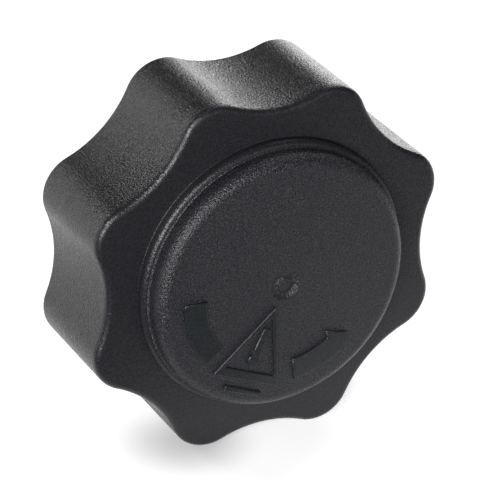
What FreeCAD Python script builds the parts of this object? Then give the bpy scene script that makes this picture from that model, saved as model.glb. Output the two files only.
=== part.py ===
import FreeCAD, Part

import math
import os

import Sketcher

# Expansion tank cap: a screw cap with an eight-lobed grip, which carries a two-way
# pressure valve on an insert that turns freely inside it. Millimetres and degrees.
#
# Every piece is drawn about its own Z axis, which points out of the cap's closed
# face. The pieces are then laid over, so that the cap stands on two of its lobes:
# +Z is up, the closed face looks along -Y and the open side along +Y. The origin is
# at the bottom centre of the whole cap, on the surface that it stands on.

# Driving sizes.
SIZES = {
    # Grip: convex lobes joined by wide tangent hollows, drawn at the closed face. The
    # lobes reach out from the threaded sleeve inside.
    "lobe_count": 8,
    "lobe_reach": 6.7,
    "lobe_arc_radius": 7.04,
    "hollow_arc_radius": 22.15,
    "skirt_depth": 22.4,
    "skirt_draft_angle": 0.83,
    "front_edge_round": 1.2,
    "rim_bevel": 0.4,
    "grip_wall": 2.2,
    "pocket_corner_round": 0.8,
    # Closed face: a low ledge, then a flat disc with a wide soft shoulder.
    "ledge_radius": 25.3,
    "ledge_height": 1.8,
    "ledge_bevel": 0.5,
    "disc_radius": 23.95,
    "disc_height": 5.5,
    "disc_round": 2.2,
    "gate_radius": 3.0,
    "gate_depth": 0.35,
    "gate_nub_radius": 0.6,
    # Inside of the shell: threaded sleeve, snap collar and thrust ring.
    "top_wall": 2.6,
    "thread_root_radius": 26.1,
    "thread_lead": 1.2,
    "sleeve_wall": 2.2,
    "collar_wall": 1.9,
    "lip_height": 1.6,
    "lip_catch": 0.6,
    "lip_lead": 0.9,
    "thrust_ring_radius": 17.0,
    "thrust_ring_wall": 1.5,
    "turn_clearance": 0.3,
    "turn_play": 0.15,
    # Valve pot: a cup whose lower end is the plug that seals in the tank's neck.
    "plug_radius": 19.2,
    "plug_reach": 10.5,
    "plug_lead": 1.0,
    "pilot_length": 4.9,
    "groove_depth": 1.85,
    "groove_width": 3.2,
    "gland_land": 1.2,
    "gland_slope": 0.8,
    "groove_wall": 1.55,
    "pot_wall": 2.4,
    "pot_floor": 2.4,
    "pot_flange": 1.6,
    "flange_overhang": 1.2,
    "port_radius": 7.5,
    "seat_height": 1.2,
    "seat_foot": 1.7,
    "seat_crown": 0.6,
    "rib_count": 6,
    "rib_width": 1.6,
    "rib_height": 8.6,
    "window_count": 4,
    "window_width": 7.0,
    "window_height": 5.0,
    "window_rise": 13.5,
    # Cover that closes the pot and takes the pressure spring's thrust.
    "cover_flange": 1.8,
    "cover_skirt": 3.0,
    "cover_skirt_wall": 1.5,
    "cover_fit": 0.1,
    # Neck ring.
    "oring_sides": 8,
    "oring_section": 1.3,
    "oring_fit": 0.02,
    # Pressure valve.
    "plate_radius": 11.75,
    "plate_thickness": 2.0,
    "plate_skirt": 1.1,
    "plate_tube_height": 5.4,
    "plate_tube_wall": 1.0,
    "plate_guide_clearance": 0.3,
    "seal_radius": 10.6,
    "seal_hole_radius": 3.6,
    "seal_thickness": 2.0,
    "seal_fit": 0.1,
    "spring_radius": 8.4,
    "spring_wire": 1.8,
    "wire_sides": 6,
    "spring_turns": 4.5,
    "spring_guide_clearance": 0.2,
    "spring_guide_wall": 1.2,
    "spring_guide_height": 2.0,
    # Vacuum valve.
    "poppet_radius": 5.6,
    "poppet_thickness": 1.5,
    "poppet_bevel": 0.5,
    "stem_radius": 1.5,
    "stem_clearance": 0.1,
    "stem_end": 0.9,
    "air_slot_count": 3,
    "air_slot_width": 1.2,
    "air_slot_reach": 3.2,
    "vacuum_spring_radius": 2.8,
    "vacuum_spring_wire": 0.4,
    "vacuum_spring_length": 4.0,
    "vacuum_spring_turns": 4.0,
    "clip_radius": 3.5,
    "clip_thickness": 0.5,
    "clip_clearance": 0.4,
    "clip_groove_depth": 0.5,
    "clip_grip": 0.05,
    "clip_slot_count": 4,
    "clip_slot_width": 0.5,
    "clip_slot_reach": 1.1,
}

# Places worked out from the driving sizes. A height is measured from the piece's own
# datum: the open rim for the shell, and the lower end for every other piece. A name
# that ends in _level is a height above the shell's open rim.
PLACES = {
    # Grip.
    "sleeve_radius": "=sizes.thread_root_radius + sizes.sleeve_wall",
    "lobe_tip_radius": "=sleeve_radius + sizes.lobe_reach",
    "lobe_centre_radius": "=lobe_tip_radius - sizes.lobe_arc_radius",
    "draft_spread": "=sizes.skirt_depth * tan(sizes.skirt_draft_angle)",
    "standing_height": (
        "=lobe_centre_radius * cos(180 / sizes.lobe_count)"
        " + sizes.lobe_arc_radius + draft_spread"
    ),
    "pocket_arc_radius": "=sizes.lobe_arc_radius - sizes.grip_wall",
    # Closed face.
    "ledge_top": "=sizes.skirt_depth + sizes.ledge_height",
    "disc_top": "=sizes.skirt_depth + sizes.disc_height",
    "ledge_bevel_start": "=ledge_top - sizes.ledge_bevel",
    "ledge_bevel_radius": "=sizes.ledge_radius - sizes.ledge_bevel",
    "gate_floor": "=disc_top - sizes.gate_depth",
    "gate_slope_radius": "=sizes.gate_radius - sizes.gate_depth",
    "gate_cut_top": "=disc_top + sizes.gate_depth",
    "roof": "=disc_top - sizes.top_wall",
    "cap_middle": "=(disc_top - sizes.plug_reach) / 2",
    # Snap collar, set by the two flanges that it holds.
    "thrust_end": "=sizes.skirt_depth - sizes.top_wall",
    "lip_top": (
        "=thrust_end - sizes.cover_flange - sizes.pot_flange - 2 * sizes.turn_play"
    ),
    "collar_end": "=lip_top - sizes.lip_height",
    "lip_lead_top": "=collar_end + sizes.lip_lead",
    "flange_radius": "=sizes.plug_radius + sizes.flange_overhang",
    "collar_bore_radius": "=flange_radius + sizes.turn_clearance",
    "collar_radius": "=collar_bore_radius + sizes.collar_wall",
    "lip_radius": "=flange_radius - sizes.lip_catch",
    "lip_mouth_radius": "=lip_radius + sizes.lip_lead",
    "thrust_bore_radius": "=sizes.thrust_ring_radius - sizes.thrust_ring_wall",
    "mouth_radius": "=sizes.thread_root_radius + sizes.thread_lead",
    # Valve pot.
    "pot_level": "=-sizes.plug_reach",
    "plug_tip_radius": "=sizes.plug_radius - sizes.plug_lead",
    "groove_radius": "=sizes.plug_radius - sizes.groove_depth",
    "pot_bore_radius": "=groove_radius - sizes.groove_wall",
    "pot_radius": "=pot_bore_radius + sizes.pot_wall",
    "groove_top": "=sizes.pilot_length + sizes.groove_width",
    "gland_top": "=groove_top + sizes.gland_land",
    "gland_slope_top": "=gland_top + sizes.gland_slope",
    "flange_bottom": "=sizes.plug_reach + lip_top + sizes.turn_play",
    "flange_top": "=flange_bottom + sizes.pot_flange",
    "seat_top": "=sizes.pot_floor + sizes.seat_height",
    "seat_foot_radius": "=sizes.port_radius + sizes.seat_foot",
    "seat_inner_radius": "=sizes.port_radius + (sizes.seat_foot - sizes.seat_crown) / 2",
    "seat_outer_radius": "=seat_inner_radius + sizes.seat_crown",
    "rib_inner_radius": "=sizes.plate_radius + sizes.plate_guide_clearance",
    "rib_outer_radius": "=pot_bore_radius + sizes.pot_wall / 2",
    "window_inner_radius": "=pot_bore_radius - sizes.pot_wall / 2",
    "window_outer_radius": "=pot_radius + sizes.pot_wall / 2",
    # Cover.
    "cover_level": "=pot_level + flange_top - sizes.cover_skirt",
    "cover_top": "=sizes.cover_skirt + sizes.cover_flange",
    "cover_skirt_radius": "=pot_bore_radius - sizes.cover_fit",
    "cover_skirt_bore": "=cover_skirt_radius - sizes.cover_skirt_wall",
    "cover_guide_end": "=sizes.cover_skirt - sizes.spring_guide_height",
    "spring_guide_radius": (
        "=sizes.spring_radius - sizes.spring_wire / 2 - sizes.spring_guide_clearance"
    ),
    "spring_guide_bore": "=spring_guide_radius - sizes.spring_guide_wall",
    # Neck ring.
    "oring_level": "=pot_level + sizes.pilot_length + sizes.groove_width / 2",
    "oring_radius": "=groove_radius + sizes.oring_section + sizes.oring_fit",
    # Pressure valve.
    "seal_level": "=pot_level + seat_top",
    "plate_level": "=seal_level + sizes.seal_thickness - sizes.plate_skirt",
    "plate_top": "=sizes.plate_skirt + sizes.plate_thickness",
    "plate_guide_top": "=plate_top + sizes.spring_guide_height",
    "plate_tube_top": "=plate_top + sizes.plate_tube_height",
    "plate_skirt_bore": "=sizes.seal_radius + sizes.seal_fit",
    "plate_tube_bore": "=sizes.clip_radius + sizes.clip_clearance",
    "plate_tube_radius": "=plate_tube_bore + sizes.plate_tube_wall",
    "stem_hole_radius": "=sizes.stem_radius + sizes.stem_clearance",
    "spring_level": "=plate_level + plate_top",
    "spring_length": "=cover_level + sizes.cover_skirt - spring_level",
    "spring_wire_radius": "=sizes.spring_wire / 2",
    "spring_inside": "=sizes.spring_radius - sizes.spring_wire",
    "spring_outside": "=sizes.spring_radius + sizes.spring_wire",
    "spring_ground_off": "=-sizes.spring_wire",
    "spring_top_cut": "=spring_length + sizes.spring_wire",
    "air_slot_start": "=stem_hole_radius / 2",
    # Vacuum valve.
    "poppet_level": "=seal_level - sizes.poppet_thickness",
    "poppet_face_radius": "=sizes.poppet_radius - sizes.poppet_bevel",
    "clip_level": "=spring_level + sizes.vacuum_spring_length",
    "clip_groove_bottom": "=clip_level - poppet_level",
    "clip_groove_top": "=clip_groove_bottom + sizes.clip_thickness",
    "clip_groove_radius": "=sizes.stem_radius - sizes.clip_groove_depth",
    "stem_top": "=clip_groove_top + sizes.stem_end",
    "clip_hole_radius": "=clip_groove_radius + sizes.clip_grip",
    "clip_slot_start": "=clip_hole_radius / 2",
    "clip_slot_end": "=clip_hole_radius + sizes.clip_slot_reach",
    "vacuum_wire_radius": "=sizes.vacuum_spring_wire / 2",
    "vacuum_inside": "=sizes.vacuum_spring_radius - sizes.vacuum_spring_wire",
    "vacuum_outside": "=sizes.vacuum_spring_radius + sizes.vacuum_spring_wire",
    "vacuum_ground_off": "=-sizes.vacuum_spring_wire",
    "vacuum_top_cut": "=sizes.vacuum_spring_length + sizes.vacuum_spring_wire",
}

# Distance under which two heights or radii count as the same.
SAME = 1e-6
# Word that stands for a point on the piece's own axis.
AXIS = "axis"
# Word that stands for the height of the piece's own datum.
DATUM = "datum"

Z_DIRECTION = FreeCAD.Vector(0, 0, 1)
LAID_OVER = FreeCAD.Rotation(FreeCAD.Vector(1, 0, 0), 90)

document = FreeCAD.newDocument("ExpansionTankCap")


def write_sheet(name, cells):
    """One row for each name: the name in column A, its value in B under an alias."""
    sheet = document.addObject("Spreadsheet::Sheet", name)
    for row, (alias, content) in enumerate(cells.items(), start=1):
        sheet.set(f"A{row}", alias)
        sheet.set(f"B{row}", str(content))
        sheet.setAlias(f"B{row}", alias)
    document.recompute()
    return sheet


sizes = write_sheet("sizes", SIZES)
places = write_sheet("places", PLACES)


def bound_name(name):
    """The sheet and alias that an expression uses for a size or a place."""
    return f"sizes.{name}" if name in SIZES else f"places.{name}"


def number(name):
    """The present value of a size or a place."""
    if name in (AXIS, DATUM):
        return 0.0
    return float(getattr(sizes if name in SIZES else places, name))


def new_body(label):
    body = document.addObject("PartDesign::Body", label)
    body.Label = label
    return body


def new_sketch(body, name, role, height=None):
    """A sketch on one of the body's own origin planes, raised by a named height."""
    sketch = body.newObject("Sketcher::SketchObject", name)
    plane = next(item for item in body.Origin.OriginFeatures if item.Role == role)
    sketch.AttachmentSupport = [(plane, "")]
    sketch.MapMode = "FlatFace"
    if height:
        sketch.setExpression("AttachmentOffset.Base.z", bound_name(height))
    return sketch


def bind(sketch, constraint, expression):
    index = sketch.addConstraint(constraint)
    sketch.setExpression(f"Constraints[{index}]", expression)


def pin_point(sketch, geometry, end, across, along):
    """Hold one end of an edge at a named distance across and along from the origin."""
    for name, kind, axis_line in ((across, "DistanceX", -2), (along, "DistanceY", -1)):
        if name in (AXIS, DATUM):
            sketch.addConstraint(Sketcher.Constraint("PointOnObject", geometry, end, axis_line))
        else:
            constraint = Sketcher.Constraint(kind, -1, 1, geometry, end, number(name))
            bind(sketch, constraint, bound_name(name))


def draw_outline(sketch, corners):
    """Closed outline through named corners, each a pair of radius and height."""
    points = [FreeCAD.Vector(number(across), number(along), 0) for across, along in corners]
    for index, start in enumerate(points):
        end = points[(index + 1) % len(points)]
        sketch.addGeometry(Part.LineSegment(start, end))
    for index, (across, along) in enumerate(corners):
        following = (index + 1) % len(points)
        sketch.addConstraint(Sketcher.Constraint("Coincident", index, 2, following, 1))
        pin_point(sketch, index, 1, across, along)


def revolve(body, name, corners, kind="PartDesign::Revolution"):
    """Solid of revolution, or a turned cut, about the body's own Z axis."""
    sketch = new_sketch(body, name + "_profile", "XZ_Plane")
    draw_outline(sketch, corners)
    feature = body.newObject(kind, name)
    feature.Profile = sketch
    feature.ReferenceAxis = (sketch, ["V_Axis"])
    feature.Angle = 360.0
    document.recompute()
    return feature


def block_outline(sketch, near, far, width):
    """Rectangle from one named radius to another, centred on the sketch's X axis."""
    low, high, half = number(near), number(far), number(width) / 2
    corners = [(low, -half), (high, -half), (high, half), (low, half)]
    for index, (across, along) in enumerate(corners):
        end_across, end_along = corners[(index + 1) % 4]
        start = FreeCAD.Vector(across, along, 0)
        end = FreeCAD.Vector(end_across, end_along, 0)
        sketch.addGeometry(Part.LineSegment(start, end))
    for index in range(4):
        following = (index + 1) % 4
        sketch.addConstraint(Sketcher.Constraint("Coincident", index, 2, following, 1))
    for index in (0, 2):
        sketch.addConstraint(Sketcher.Constraint("Horizontal", index))
    sketch.addConstraint(Sketcher.Constraint("Vertical", 1))
    sketch.addConstraint(Sketcher.Constraint("Symmetric", 3, 1, 3, 2, -1))
    bind(sketch, Sketcher.Constraint("DistanceY", 1, 1, 1, 2, number(width)), bound_name(width))
    near_edge = Sketcher.Constraint("DistanceX", -1, 1, 0, 1, low)
    far_edge = Sketcher.Constraint("DistanceX", -1, 1, 0, 2, high)
    bind(sketch, near_edge, bound_name(near))
    bind(sketch, far_edge, bound_name(far))


def ring_of(body, name, feature, count):
    """Repeat one feature evenly about the body's own Z axis."""
    pattern = body.newObject("PartDesign::PolarPattern", name)
    pattern.Originals = [feature]
    axis = next(item for item in body.Origin.OriginFeatures if item.Role == "Z_Axis")
    pattern.Axis = (axis, [""])
    pattern.Angle = 360.0
    pattern.setExpression("Occurrences", bound_name(count))
    body.Tip = pattern
    document.recompute()
    return pattern


def straight_cut(body, name, sketch, length):
    """Cut upwards from the sketch over a named length."""
    cut = body.newObject("PartDesign::Pocket", name)
    cut.Profile = sketch
    cut.Reversed = True
    cut.Type = "Length"
    cut.setExpression("Length", bound_name(length))
    document.recompute()
    return cut


def edge_names(feature, chosen):
    """Names of the feature's edges that the given test chooses."""
    return [f"Edge{i}" for i, edge in enumerate(feature.Shape.Edges, start=1) if chosen(edge)]


def round_edges(body, name, base, radius, chosen):
    fillet = body.newObject("PartDesign::Fillet", name)
    fillet.Base = (base, edge_names(base, chosen))
    fillet.setExpression("Radius", bound_name(radius))
    document.recompute()
    return fillet


def bevel_edges(body, name, base, size, chosen):
    chamfer = body.newObject("PartDesign::Chamfer", name)
    chamfer.Base = (base, edge_names(base, chosen))
    chamfer.setExpression("Size", bound_name(size))
    document.recompute()
    return chamfer


def lies_at(edge, height):
    """True for an edge that lies flat at a height."""
    box = edge.BoundBox
    return abs(box.ZMin - height) < SAME and box.ZLength < SAME


def is_circle_at(edge, radius, height):
    """True for a full circle about the Z axis, of a given radius and height."""
    box = edge.BoundBox
    on_circle = abs(box.XMax - radius) < SAME and abs(box.XMin + radius) < SAME
    return on_circle and lies_at(edge, height)


def seat(piece, label, level=None):
    """Lay the piece over and set its own datum at its height above the open rim."""
    piece.Label = label
    piece.Placement = FreeCAD.Placement(FreeCAD.Vector(), LAID_OVER)
    raised = f" - {bound_name(level)}" if level else ""
    piece.setExpression("Placement.Base.y", f"places.cap_middle{raised}")
    piece.setExpression("Placement.Base.z", "places.standing_height")


def lobe_angles():
    """Angles of the lobes in degrees, with two of them the same distance from down."""
    pitch = 360 / SIZES["lobe_count"]
    return [(index + 0.5) * pitch for index in range(SIZES["lobe_count"])]


def point_at(radius, angle):
    return FreeCAD.Vector(radius * math.cos(angle), radius * math.sin(angle), 0)


def draw_lobed_outline(sketch):
    """The grip's outline at the closed face: lobes and hollows as tangent arcs."""
    count = SIZES["lobe_count"]
    half = math.pi / count
    lobe_centre = number("lobe_centre_radius")
    lobe_arc = number("lobe_arc_radius")
    hollow_arc = number("hollow_arc_radius")
    reach = math.sqrt((lobe_arc + hollow_arc) ** 2 - (lobe_centre * math.sin(half)) ** 2)
    hollow_centre = lobe_centre * math.cos(half) + reach
    sideways = hollow_centre * math.sin(half)
    lobe_half_span = math.atan2(sideways, hollow_centre * math.cos(half) - lobe_centre)
    hollow_half_span = lobe_half_span - half
    for angle in lobe_angles():
        lobe_angle = math.radians(angle)
        lobe = Part.Circle(point_at(lobe_centre, lobe_angle), Z_DIRECTION, lobe_arc)
        start = lobe_angle - lobe_half_span
        sketch.addGeometry(Part.ArcOfCircle(lobe, start, lobe_angle + lobe_half_span))
        hollow_angle = lobe_angle + half
        hollow = Part.Circle(point_at(hollow_centre, hollow_angle), Z_DIRECTION, hollow_arc)
        inward = hollow_angle + math.pi
        start = inward - hollow_half_span
        sketch.addGeometry(Part.ArcOfCircle(hollow, start, inward + hollow_half_span))
    for index, angle in enumerate(lobe_angles()):
        lobe, hollow = 2 * index, 2 * index + 1
        next_lobe = (lobe + 2) % (2 * count)
        sketch.addConstraint(Sketcher.Constraint("Tangent", lobe, 2, hollow, 2))
        sketch.addConstraint(Sketcher.Constraint("Tangent", hollow, 1, next_lobe, 1))
        centre = point_at(lobe_centre, math.radians(angle))
        across = Sketcher.Constraint("DistanceX", -1, 1, lobe, 3, centre.x)
        bind(sketch, across, f"places.lobe_centre_radius * cos({angle})")
        along = Sketcher.Constraint("DistanceY", -1, 1, lobe, 3, centre.y)
        bind(sketch, along, f"places.lobe_centre_radius * sin({angle})")
        if index:
            sketch.addConstraint(Sketcher.Constraint("Equal", 0, lobe))
            sketch.addConstraint(Sketcher.Constraint("Equal", 1, hollow))
    bind(sketch, Sketcher.Constraint("Radius", 0, lobe_arc), "sizes.lobe_arc_radius")
    bind(sketch, Sketcher.Constraint("Radius", 1, hollow_arc), "sizes.hollow_arc_radius")


def draw_pocket_outline(sketch):
    """Cored pocket behind one lobe, between the sleeve and the lobe's own wall."""
    turn = math.radians(lobe_angles()[0])
    sleeve = number("sleeve_radius")
    wall_arc = number("pocket_arc_radius")
    corner = number("pocket_corner_round")
    lobe_centre = number("lobe_centre_radius")
    corner_centre = sleeve + corner
    inner_side = wall_arc - corner
    cosine = (corner_centre**2 + lobe_centre**2 - inner_side**2) / (2 * corner_centre * lobe_centre)
    aside = math.acos(cosine)
    centre = point_at(lobe_centre, turn)
    low_corner = point_at(corner_centre, turn - aside)
    high_corner = point_at(corner_centre, turn + aside)

    def direction(start, end):
        return math.atan2(end.y - start.y, end.x - start.x)

    origin = FreeCAD.Vector()
    low_wall = direction(centre, low_corner)
    high_wall = direction(centre, high_corner)
    wall = Part.Circle(centre, Z_DIRECTION, wall_arc)
    sketch.addGeometry(Part.ArcOfCircle(wall, low_wall, high_wall))
    high_round = Part.Circle(high_corner, Z_DIRECTION, corner)
    sketch.addGeometry(Part.ArcOfCircle(high_round, high_wall, turn + aside + math.pi))
    back = Part.Circle(origin, Z_DIRECTION, sleeve)
    sketch.addGeometry(Part.ArcOfCircle(back, turn - aside, turn + aside))
    low_round = Part.Circle(low_corner, Z_DIRECTION, corner)
    sketch.addGeometry(Part.ArcOfCircle(low_round, turn - aside + math.pi, low_wall))
    for first, first_end, second, second_end in ((0, 2, 1, 1), (1, 2, 2, 2), (2, 1, 3, 1), (3, 2, 0, 1)):
        sketch.addConstraint(Sketcher.Constraint("Tangent", first, first_end, second, second_end))
    sketch.addConstraint(Sketcher.Constraint("Coincident", 2, 3, -1, 1))
    across = Sketcher.Constraint("DistanceX", -1, 1, 0, 3, centre.x)
    bind(sketch, across, f"places.lobe_centre_radius * cos({lobe_angles()[0]})")
    along = Sketcher.Constraint("DistanceY", -1, 1, 0, 3, centre.y)
    bind(sketch, along, f"places.lobe_centre_radius * sin({lobe_angles()[0]})")
    bind(sketch, Sketcher.Constraint("Radius", 0, wall_arc), "places.pocket_arc_radius")
    bind(sketch, Sketcher.Constraint("Radius", 2, sleeve), "places.sleeve_radius")
    bind(sketch, Sketcher.Constraint("Radius", 1, corner), "sizes.pocket_corner_round")
    sketch.addConstraint(Sketcher.Constraint("Equal", 1, 3))


def cap_shell():
    """Moulded shell: grip skirt, closed face, threaded sleeve and snap collar."""
    body = new_body("cap_shell")
    outline = new_sketch(body, "grip_outline", "XY_Plane", "skirt_depth")
    draw_lobed_outline(outline)
    skirt = body.newObject("PartDesign::Pad", "skirt")
    skirt.Profile = outline
    skirt.Reversed = True
    skirt.setExpression("Length", "sizes.skirt_depth")
    skirt.setExpression("TaperAngle", "sizes.skirt_draft_angle")
    document.recompute()

    front = number("skirt_depth")
    rim = number(DATUM)
    fronted = round_edges(
        body, "front_edge", skirt, "front_edge_round", lambda edge: lies_at(edge, front)
    )
    bevel_edges(body, "rim_edge", fronted, "rim_bevel", lambda edge: lies_at(edge, rim))
    boss = revolve(
        body,
        "boss",
        [
            (AXIS, "thrust_end"),
            ("ledge_radius", "thrust_end"),
            ("ledge_radius", "ledge_bevel_start"),
            ("ledge_bevel_radius", "ledge_top"),
            ("disc_radius", "ledge_top"),
            ("disc_radius", "disc_top"),
            (AXIS, "disc_top"),
        ],
    )
    disc = number("disc_radius"), number("disc_top")
    round_edges(body, "disc_edge", boss, "disc_round", lambda edge: is_circle_at(edge, *disc))

    revolve(
        body,
        "hollow",
        [
            (AXIS, DATUM),
            ("mouth_radius", DATUM),
            ("thread_root_radius", "thread_lead"),
            ("thread_root_radius", "thrust_end"),
            ("collar_radius", "thrust_end"),
            ("collar_radius", "collar_end"),
            ("lip_mouth_radius", "collar_end"),
            ("lip_radius", "lip_lead_top"),
            ("lip_radius", "lip_top"),
            ("collar_bore_radius", "lip_top"),
            ("collar_bore_radius", "roof"),
            ("thrust_ring_radius", "roof"),
            ("thrust_ring_radius", "thrust_end"),
            ("thrust_bore_radius", "thrust_end"),
            ("thrust_bore_radius", "roof"),
            (AXIS, "roof"),
        ],
        kind="PartDesign::Groove",
    )
    revolve(
        body,
        "gate_dimple",
        [
            ("gate_nub_radius", "gate_floor"),
            ("gate_slope_radius", "gate_floor"),
            ("gate_radius", "disc_top"),
            ("gate_radius", "gate_cut_top"),
            ("gate_nub_radius", "gate_cut_top"),
        ],
        kind="PartDesign::Groove",
    )
    outline = new_sketch(body, "pocket_outline", "XY_Plane")
    draw_pocket_outline(outline)
    pocket = straight_cut(body, "lobe_pocket", outline, "thrust_end")
    ring_of(body, "lobe_pockets", pocket, "lobe_count")
    seat(body, "cap_shell")
    return body


def valve_pot():
    """Cup of the insert: plug with the ring's groove, valve seat, ribs and windows."""
    body = new_body("valve_pot")
    revolve(
        body,
        "cup",
        [
            ("port_radius", DATUM),
            ("plug_tip_radius", DATUM),
            ("plug_radius", "plug_lead"),
            ("plug_radius", "pilot_length"),
            ("groove_radius", "pilot_length"),
            ("groove_radius", "groove_top"),
            ("plug_radius", "groove_top"),
            ("plug_radius", "gland_top"),
            ("pot_radius", "gland_slope_top"),
            ("pot_radius", "flange_bottom"),
            ("flange_radius", "flange_bottom"),
            ("flange_radius", "flange_top"),
            ("pot_bore_radius", "flange_top"),
            ("pot_bore_radius", "pot_floor"),
            ("seat_foot_radius", "pot_floor"),
            ("seat_outer_radius", "seat_top"),
            ("seat_inner_radius", "seat_top"),
            ("port_radius", "pot_floor"),
        ],
    )
    outline = new_sketch(body, "rib_outline", "XY_Plane", "pot_floor")
    block_outline(outline, "rib_inner_radius", "rib_outer_radius", "rib_width")
    rib = body.newObject("PartDesign::Pad", "guide_rib")
    rib.Profile = outline
    rib.setExpression("Length", "sizes.rib_height")
    document.recompute()
    ring_of(body, "guide_ribs", rib, "rib_count")
    outline = new_sketch(body, "window_outline", "XY_Plane", "window_rise")
    block_outline(outline, "window_inner_radius", "window_outer_radius", "window_width")
    window = straight_cut(body, "vent_window", outline, "window_height")
    ring_of(body, "vent_windows", window, "window_count")
    seat(body, "valve_pot", "pot_level")
    return body


def pot_cover():
    """Cover that snaps into the pot and centres the pressure spring."""
    body = new_body("pot_cover")
    revolve(
        body,
        "cover",
        [
            (AXIS, "cover_skirt"),
            ("spring_guide_bore", "cover_skirt"),
            ("spring_guide_bore", "cover_guide_end"),
            ("spring_guide_radius", "cover_guide_end"),
            ("spring_guide_radius", "cover_skirt"),
            ("cover_skirt_bore", "cover_skirt"),
            ("cover_skirt_bore", DATUM),
            ("cover_skirt_radius", DATUM),
            ("cover_skirt_radius", "cover_skirt"),
            ("flange_radius", "cover_skirt"),
            ("flange_radius", "cover_top"),
            (AXIS, "cover_top"),
        ],
    )
    seat(body, "pot_cover", "cover_level")
    return body


def draw_round_section(sketch, mean, radius, sides):
    """A wire's or ring's section: an even polygon about a named mean radius."""
    count = SIZES[sides]
    half = math.pi / count
    centre = FreeCAD.Vector(number(mean), 0, 0)
    corners = [
        centre + point_at(number(radius), (2 * index + 1) * half) for index in range(count)
    ]
    for index, start in enumerate(corners):
        sketch.addGeometry(Part.LineSegment(start, corners[(index + 1) % count]))
    rim = sketch.addGeometry(Part.Circle(centre, Z_DIRECTION, number(radius)), True)
    for index in range(count):
        following = (index + 1) % count
        sketch.addConstraint(Sketcher.Constraint("Coincident", index, 2, following, 1))
        sketch.addConstraint(Sketcher.Constraint("PointOnObject", index, 1, rim))
        if index:
            sketch.addConstraint(Sketcher.Constraint("Equal", 0, index))
    sketch.addConstraint(Sketcher.Constraint("Vertical", count - 1))
    sketch.addConstraint(Sketcher.Constraint("PointOnObject", rim, 3, -1))
    across = Sketcher.Constraint("DistanceX", -1, 1, rim, 3, number(mean))
    bind(sketch, across, bound_name(mean))
    bind(sketch, Sketcher.Constraint("Radius", rim, number(radius)), bound_name(radius))


def neck_oring():
    """Ring that seals the plug in the tank's neck, loose in its groove by a hair."""
    body = new_body("neck_oring")
    section = new_sketch(body, "oring_section", "XZ_Plane")
    draw_round_section(section, "oring_radius", "oring_section", "oring_sides")
    ring = body.newObject("PartDesign::Revolution", "ring")
    ring.Profile = section
    ring.ReferenceAxis = (section, ["V_Axis"])
    ring.Angle = 360.0
    document.recompute()
    seat(body, "neck_oring", "oring_level")
    return body


def coil_spring(label, mean, wire, turns, length, inside, outside, below, above):
    """Round-wire compression spring between two flat seats, its ends ground flat."""
    body = new_body(label)
    section = new_sketch(body, label + "_section", "XZ_Plane")
    draw_round_section(section, mean, wire, "wire_sides")
    coil = body.newObject("PartDesign::AdditiveHelix", label + "_coil")
    coil.Profile = section
    coil.ReferenceAxis = (section, ["V_Axis"])
    coil.Mode = "height-turns-angle"
    coil.setExpression("Height", bound_name(length))
    coil.setExpression("Turns", bound_name(turns))
    document.recompute()
    ground = [(inside, below), (outside, below), (outside, DATUM), (inside, DATUM)]
    revolve(body, label + "_lower_end", ground, kind="PartDesign::Groove")
    ground = [(inside, length), (outside, length), (outside, above), (inside, above)]
    revolve(body, label + "_upper_end", ground, kind="PartDesign::Groove")
    return body


def pressure_spring():
    """Strong spring that holds the pressure valve shut."""
    body = coil_spring(
        "pressure_spring",
        "spring_radius",
        "spring_wire_radius",
        "spring_turns",
        "spring_length",
        "spring_inside",
        "spring_outside",
        "spring_ground_off",
        "spring_top_cut",
    )
    seat(body, "pressure_spring", "spring_level")
    return body


def pressure_plate():
    """Valve plate: holds the seal in its skirt and houses the vacuum valve's spring."""
    body = new_body("pressure_plate")
    revolve(
        body,
        "plate",
        [
            ("stem_hole_radius", "plate_skirt"),
            ("plate_skirt_bore", "plate_skirt"),
            ("plate_skirt_bore", DATUM),
            ("plate_radius", DATUM),
            ("plate_radius", "plate_top"),
            ("spring_guide_radius", "plate_top"),
            ("spring_guide_radius", "plate_guide_top"),
            ("spring_guide_bore", "plate_guide_top"),
            ("spring_guide_bore", "plate_top"),
            ("plate_tube_radius", "plate_top"),
            ("plate_tube_radius", "plate_tube_top"),
            ("plate_tube_bore", "plate_tube_top"),
            ("plate_tube_bore", "plate_top"),
            ("stem_hole_radius", "plate_top"),
        ],
    )
    outline = new_sketch(body, "air_slot_outline", "XY_Plane", "plate_skirt")
    block_outline(outline, "air_slot_start", "air_slot_reach", "air_slot_width")
    slot = straight_cut(body, "air_slot", outline, "plate_thickness")
    ring_of(body, "air_slots", slot, "air_slot_count")
    seat(body, "pressure_plate", "plate_level")
    return body


def pressure_seal():
    """Flat rubber washer that both valves close against."""
    washer = document.addObject("Part::Cylinder", "seal_washer")
    washer.setExpression("Radius", "sizes.seal_radius")
    washer.setExpression("Height", "sizes.seal_thickness")
    hole = document.addObject("Part::Cylinder", "seal_hole")
    hole.setExpression("Radius", "sizes.seal_hole_radius")
    hole.setExpression("Height", "sizes.seal_thickness")
    seal = document.addObject("Part::Cut", "pressure_seal")
    seal.Base = washer
    seal.Tool = hole
    document.recompute()
    seat(seal, "pressure_seal", "seal_level")
    return seal


def vacuum_valve():
    """Poppet that opens towards the tank, with a groove for its clip."""
    body = new_body("vacuum_valve")
    revolve(
        body,
        "poppet",
        [
            (AXIS, DATUM),
            ("poppet_face_radius", DATUM),
            ("poppet_radius", "poppet_bevel"),
            ("poppet_radius", "poppet_thickness"),
            ("stem_radius", "poppet_thickness"),
            ("stem_radius", "clip_groove_bottom"),
            ("clip_groove_radius", "clip_groove_bottom"),
            ("clip_groove_radius", "clip_groove_top"),
            ("stem_radius", "clip_groove_top"),
            ("stem_radius", "stem_top"),
            (AXIS, "stem_top"),
        ],
    )
    seat(body, "vacuum_valve", "poppet_level")
    return body


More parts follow.
